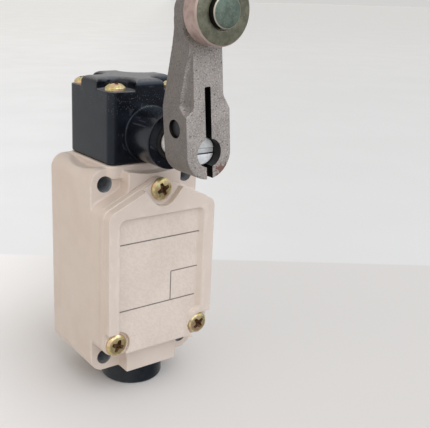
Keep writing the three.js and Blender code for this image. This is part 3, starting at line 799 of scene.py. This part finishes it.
def pan_screw(radius, height, shank, length, flat):
    """Pan-head screw standing on z = 0, head up, with a cross recess."""
    head = turned([
        (0, height, 0), (radius * flat * 0.55, height, 2), (radius * flat * 1.08, height * 0.84, 1),
        (radius, height * 0.45, height * 0.25), (radius, 0, 0.12),
        (shank, 0, 0), (shank, -length, 0.4), (0, -length, 0),
    ], "z", 0, 0, 72)
    tool = cross_recess(radius * 0.68, radius * 0.16, 1.4)
    transformed(tool, Matrix.Translation((0, 0, height)))
    return bevelled(cut(head, tool), 0.09, 2, 40)


def place_screw(node, facing, radius, height, shank, flat, turn):
    """Puts a pan-head screw where a CAD screw is, its recess turned by some degrees."""
    low, high = box_mm(node)
    centre = (low + high) / 2
    length = (high.y - low.y if facing == "front" else high.z - low.z) - height
    solid = pan_screw(radius, height, shank, length, flat)
    spin = Matrix.Rotation(math.radians(turn), 4, "Z")
    if facing == "front":
        seat = Vector((centre.x, low.y + height, centre.z))
        matrix = Matrix.Translation(seat) @ Matrix.Rotation(math.radians(90), 4, "X") @ spin
    else:
        seat = Vector((centre.x, centre.y, high.z - height))
        matrix = Matrix.Translation(seat) @ spin
    transformed(solid, matrix)
    piece(solid, f"{node}_detail", "box", [zinc, zinc_recess], [node])


COVER_SCREW_SIZE = {"radius": 3.6, "height": 1.5, "shank": 1.9, "flat": 0.76}
HEAD_SCREW_SIZE = {"radius": 3.2, "height": 2.3, "shank": 1.7, "flat": 0.58}
for node, turn in zip(COVER_SCREWS, (24, 68, 38)):
    place_screw(node, "front", turn=turn, **COVER_SCREW_SIZE)
for node, turn in zip(HEAD_SCREWS, (15, 52, 78, 33)):
    place_screw(node, "top", turn=turn, **HEAD_SCREW_SIZE)

# ---------------------------------------------------------------- conduit plug


def hexagon(a, b, reach):
    """Hexagon about (a, b), two of its corners above and below along b."""
    turns = [k * math.pi / 3 for k in range(6)]
    return [Vector((a + reach * math.sin(t), b + reach * math.cos(t))) for t in turns]


def entry_plug():
    under = BOX_BOTTOM - 0.1
    body = turned([
        (0, PLUG_BOTTOM, 0), (10.6, PLUG_BOTTOM, 0.9), (10.6, under, 0.15), (9.6, under, 0),
        (9.6, under + 1.3, 0), (9.9, under + 1.7, 0), (9.9, -24.5, 0.3), (9.3, -24, 0.2), (7, -24, 0.3),
        (7, -33, 0), (0, -33, 0),
    ], "z", 0, PLUG_Y, 128)
    socket = prism(hexagon(0, PLUG_Y, 5), "z", PLUG_BOTTOM - PAST, PLUG_BOTTOM + 4)
    return bevelled(cut(body, socket), 0.12, 2, 50)


piece(entry_plug(), "entry_plug", "box", [black_plastic], ["conduit_plug"])

# ---------------------------------------------------------------- shaft and boss ring


def drive_shaft():
    body = turned([
        (0, SHAFT_FRONT, 0), (SHAFT_RADIUS, SHAFT_FRONT, 0.5), (SHAFT_RADIUS, 25.3, 0), (5, 25.3, 0.1),
        (5, 20.5, 0.1), (3.6, 20.5, 0), (3.6, 9, 0.2), (3, 9, 0), (3, 4.5, 0.2), (0, 4.5, 0),
    ], "y", 0, SHAFT_Z)
    slot = prism(rectangle(-5, 5, SHAFT_Z - 0.8, SHAFT_Z + 0.7), "y", SHAFT_FRONT - 0.6, SHAFT_FRONT + 1)
    # Painted shade: two thin near-black grooves line the slot's edges.
    edges = [
        prism(rectangle(-5, 5, SHAFT_Z + low, SHAFT_Z + low + 0.22), "y", SHAFT_FRONT - 0.9, SHAFT_FRONT + 1,
              material_index=1)
        for low in (-0.95, 0.6)
    ]
    pin_hole = rod("x", -15.5, SHAFT_Z, 0.86, -6, 6, 32)
    return bevelled(cut(body, slot, *edges, pin_hole), 0.05, 2, 50)


piece(drive_shaft(), "drive_shaft", "lever", [shaft_steel, dark_bore], ["rotary_shaft"])

seal_low, seal_high = box_mm("shaft_seal")
piece(turned([
    (4.06, -seal_high.y, 0), (5.4, -seal_high.y, 0), (5.4, -seal_low.y, 0.2), (4.8, -seal_low.y, 0.2),
    (4.5, -seal_low.y - 0.45, 0.15), (4.06, -seal_low.y - 0.1, 0.1),
], "y", 0, SHAFT_Z), "shaft_lip_seal", "box", [rubber], ["shaft_seal"])

# ---------------------------------------------------------------- lever

# Levels on the lever are measured from the shaft's centre, up the lever, which leans by its clamp angle.
LEVER_LEAN = math.radians(-5)
LEVER_FRAME = Matrix.Translation((0, 0, SHAFT_Z)) @ Matrix.Rotation(LEVER_LEAN, 4, "Y")
ROLLER_LEVEL = 38.0
LEVER_FRONT = 60.0
LEVER_REAR = 49.0
CLAMP_Y, CLAMP_LEVEL = -54.5, 7.1


def lever_casting():
    """Arm of stepped thickness, with a flute beside its slit and bores for shaft, bolt and pin."""
    face = arc_outline([
        (-7.5, -7.5, 7.48), (7.5, -7.5, 7.48), (7.5, 11.4, 1.4), (5.4, 15.4, 2),
        (5.2, ROLLER_LEVEL + 5.2, 5.18), (-5.2, ROLLER_LEVEL + 5.2, 5.18), (-5.6, 30, 4), (-7.5, 12, 6),
    ])
    side = [Vector((-front, height)) for front, height in (
        (LEVER_REAR, -9), (LEVER_FRONT, -9), (LEVER_FRONT, 30.5), (57.5, 32.5), (57.5, 46),
        (53.4, 46), (53.2, 34), (LEVER_REAR, 13),
    )]
    body = intersect(prism(side, "x", -12, 12), prism(face, "y", LEVER_REAR - 1, LEVER_FRONT + 1))
    flute = turned([(0, 0, 0), (0, -18.0, 0), (2.4, -18.0, 1.2), (4.5, -15.1, 1.6)], "z", 0, 0)
    lean = Vector((0, 0, -1)).rotation_difference(Vector((-4.4, -0.9, -14))).to_matrix().to_4x4()
    body = cut(body, transformed(flute, Matrix.Translation((-4.4, -LEVER_FRONT, 28.5)) @ lean))
    body = soften(body, voxel=0.15, rounds=4, keep=0.3)
    return cut(
        body,
        rod("y", 0, 0, SHAFT_RADIUS + 0.06, 40, 70, 96, 1),
        prism(rectangle(-1, 1, -12, 18.3, 0.4), "y", 40, 70, material_index=2),
        rod("x", CLAMP_Y, CLAMP_LEVEL, 2.6, -9, 9, 64, 1),
        rod("x", CLAMP_Y, CLAMP_LEVEL, 4.3, 3.3, 9, 64, 1),
        rod("y", 0, ROLLER_LEVEL, 3.1, 40, 70, 64, 1),
    )


piece(transformed(lever_casting(), LEVER_FRAME), "lever_casting", "lever",
      [cast_steel, dark_bore, slit_dark], ["lever_arm"])


def clamp_bolt():
    body = turned([
        (0, -6.6, 0), (2.5, -6.6, 0.4), (2.5, 3.35, 0), (4.2, 3.35, 0.1), (4.2, 7, 0.45), (0, 7, 0),
    ], "x", CLAMP_Y, CLAMP_LEVEL)
    return bevelled(cut(body, prism(hexagon(CLAMP_Y, CLAMP_LEVEL, 2.3), "x", 4.5, 8)), 0.08, 2, 50)


piece(transformed(clamp_bolt(), LEVER_FRAME), "clamp_screw", "lever", [bolt_steel], ["clamp_bolt"])

# ---------------------------------------------------------------- roller

ROLLER_REAR = 62.0
ROLLER_FRONT = 67.5
ROLLER_RADIUS = 8.75


def on_roller_axis(outline, sides=FINE_SIDES):
    return transformed(turned(outline, "y", 0, ROLLER_LEVEL, sides), LEVER_FRAME)


rivet = on_roller_axis([
    (0, 51.9, 0), (3.4, 51.9, 0.2), (4, 52.4, 0.2), (4, 53.1, 0.1), (3, 53.1, 0), (3, 66.5, 0),
    (4.3, 66.5, 0.1), (4.3, 69.2, 0.5), (0, 69.2, 0),
])
piece(rivet, "roller_rivet", "lever", [pin_steel], ["roller_pin"])

collar = on_roller_axis([(3.1, 57.6, 0.1), (4.6, 57.6, 0.2), (4.6, 61.9, 0.2), (3.1, 61.9, 0.1)])
piece(collar, "roller_collar", "lever", [steel], ["roller_spacer"])

wheel = on_roller_axis([
    (3.08, ROLLER_FRONT - 0.5, 0.05), (4.65, ROLLER_FRONT - 0.5, 0.05), (4.65, ROLLER_FRONT, 0.15),
    (ROLLER_RADIUS - 0.4, ROLLER_FRONT, 0.15), (ROLLER_RADIUS, ROLLER_FRONT - 0.4, 0.2),
    (ROLLER_RADIUS, ROLLER_REAR + 0.4, 0.2), (ROLLER_RADIUS - 0.4, ROLLER_REAR, 0.15),
    (3.08, ROLLER_REAR, 0.1),
], 160)
piece(wheel, "roller_wheel", "roller", [roller_steel], ["roller"])

# ---------------------------------------------------------------- carried-over nodes

CARRIED = {
    "rubber": rubber,
    "bronze": bronze,
    "phenolic": phenolic,
    "brass": brass,
    "acetal": acetal,
    "steel": steel,
    "zinc": zinc,
}
slots = {part["node"]: part["material_slot"] for part in frame["record"]["subparts"]}
for node, solid in frame["nodes"].items():
    if slots[node] in CARRIED:
        solid.data.materials.clear()
        solid.data.materials.append(CARRIED[slots[node]])

# ---------------------------------------------------------------- springs


def coil(node):
    """A steel copy of the node's own coil, carried by the box in place of the node."""
    spring = bpy.data.objects.new(f"{node}_coil", frame["nodes"][node].data.copy())
    bpy.context.scene.collection.objects.link(spring)
    spring.data.materials.clear()
    spring.data.materials.append(steel)
    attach(spring, "box")
    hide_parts(node)
    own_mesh(spring)


coil("return_spring")
coil("contact_spring")

# ---------------------------------------------------------------- floor, light and camera


def floor_material():
    """Pale paper with a slightly lighter sheet behind; painted light: a fall of tone from left to right, lightest
    on the near left where it offsets the object's shadow, and lighter far away.
    """
    look = Look("pale_floor", Specular_IOR_Level=0.2)
    place = look.xyz()
    azimuth = math.radians(CAMERA_AZIMUTH)
    cosine, sine = math.cos(azimuth), math.sin(azimuth)
    x, y = place["X"], place["Y"]
    along = look.math("ADD", look.math("MULTIPLY", x, -sine), look.math("MULTIPLY", y, cosine))
    across = look.math("ADD", look.math("MULTIPLY", x, cosine), look.math("MULTIPLY", y, sine))
    # Painted light: lighter on the near left, offsetting the shadow there, and lighter far away.
    near = look.mix(look.band(across, -75.0, 15.0), srgb(240, 238, 235), srgb(210, 207, 203))
    rear = look.mix(look.band(across, -160.0, 120.0), srgb(232, 232, 231), srgb(217, 217, 215))
    far = look.mix(look.band(across, -300.0, 300.0), srgb(238, 238, 236), srgb(222, 222, 221))
    rear = look.mix(look.band(along, 250.0, 1800.0), rear, far)
    tone = look.mix(look.band(along, HORIZON - 1.5, HORIZON + 1.5), near, rear)
    soft = look.mix(look.band(look.noise(0.012, 2), 0.3, 0.7, 0.0, 0.15), tone, srgb(208, 205, 204))
    return look.set(soft, 0.7)


CAMERA_AZIMUTH = -34.32
CAMERA_ELEVATION = 16.29
CAMERA_ROLL = 1.57
CAMERA_DISTANCE = 236.4
CAMERA_TARGET = Vector((13.0, -20.0, 18.4))
CAMERA_LENS, CAMERA_SENSOR = 57.88, 36
CAMERA_SHIFT = (0.116, -0.0326)
HORIZON = 92.0
FLOOR_REACH = 40.0

# Two broad soft lobes of the room's light: direction, cosines where it starts and ends, strength at each.
ROOM_LIGHT = (
    ((0.55, -0.83, -0.25), 0.35, 0.95, 0.66, 0.06),
    ((0.25, -0.72, 0.65), 0.55, 1.0, 0.0, 1.35),
)
ROOM_COLOUR = (1.0, 0.98, 0.965, 1)

# Name, place in metres, side in metres, power in watts, colour. Each faces the origin.
LIGHTS = (
    ("key", (0.35, -1.5, 1.1), 2.5, 12.6, (0.70, 0.92, 1.23)),
    ("left", (-0.9, -0.2, 0.45), 1.0, 2.0, (1.0, 0.86, 0.76)),
)


def make_floor():
    floor = bpy.data.objects.new("floor", bpy.data.meshes.new("floor"))
    level = PLUG_BOTTOM * MM
    corners = [(i * FLOOR_REACH, k * FLOOR_REACH, level) for i, k in ((-1, -1), (1, -1), (1, 1), (-1, 1))]
    floor.data.from_pydata(corners, [], [(0, 1, 2, 3)])
    floor.data.materials.append(floor_material())
    floor.visible_glossy = False
    bpy.context.scene.collection.objects.link(floor)


def make_room():
    world = bpy.data.worlds.new("studio")
    bpy.context.scene.world = world
    world.use_nodes = True
    nodes, links = world.node_tree.nodes, world.node_tree.links
    direction = nodes.new("ShaderNodeTexCoord")
    total = None
    for toward, near, far, outer, inner in ROOM_LIGHT:
        lobe = nodes.new("ShaderNodeVectorMath")
        lobe.operation = "DOT_PRODUCT"
        lobe.inputs[1].default_value = toward
        links.new(direction.outputs["Generated"], lobe.inputs[0])
        shade = nodes.new("ShaderNodeMapRange")
        shade.interpolation_type = "SMOOTHSTEP"
        links.new(lobe.outputs["Value"], shade.inputs["Value"])
        for socket, limit in zip(("From Min", "From Max", "To Min", "To Max"), (near, far, outer, inner)):
            shade.inputs[socket].default_value = limit
        if total is None:
            total = shade.outputs["Result"]
            continue
        both = nodes.new("ShaderNodeMath")
        both.operation = "ADD"
        links.new(total, both.inputs[0])
        links.new(shade.outputs["Result"], both.inputs[1])
        total = both.outputs[0]
    links.new(total, nodes["Background"].inputs["Strength"])
    nodes["Background"].inputs["Color"].default_value = ROOM_COLOUR


def make_lights():
    for name, place, size, power, colour in LIGHTS:
        light = bpy.data.objects.new(name, bpy.data.lights.new(name, "AREA"))
        light.data.shape = "SQUARE"
        light.data.size = size
        light.data.energy = power
        light.data.color = colour
        light.location = place
        light.rotation_euler = Vector(place).to_track_quat("Z", "Y").to_euler()
        bpy.context.scene.collection.objects.link(light)


def make_camera():
    azimuth, elevation = math.radians(CAMERA_AZIMUTH), math.radians(CAMERA_ELEVATION)
    back = Vector((
        math.sin(azimuth) * math.cos(elevation),
        -math.cos(azimuth) * math.cos(elevation),
        math.sin(elevation),
    ))
    camera = bpy.data.objects.new("camera", bpy.data.cameras.new("camera"))
    camera.data.lens = CAMERA_LENS
    camera.data.sensor_width = CAMERA_SENSOR
    camera.data.shift_x, camera.data.shift_y = CAMERA_SHIFT
    camera.data.clip_start = 0.01
    camera.location = (CAMERA_TARGET + back * CAMERA_DISTANCE) * MM
    turn = (-back).to_track_quat("-Z", "Y").to_matrix().to_4x4()
    camera.rotation_euler = (turn @ Matrix.Rotation(math.radians(CAMERA_ROLL), 4, "Z")).to_euler()
    bpy.context.scene.collection.objects.link(camera)
    bpy.context.scene.camera = camera
    bpy.context.scene.view_settings.view_transform = "Standard"


make_floor()
make_room()
make_lights()
make_camera()
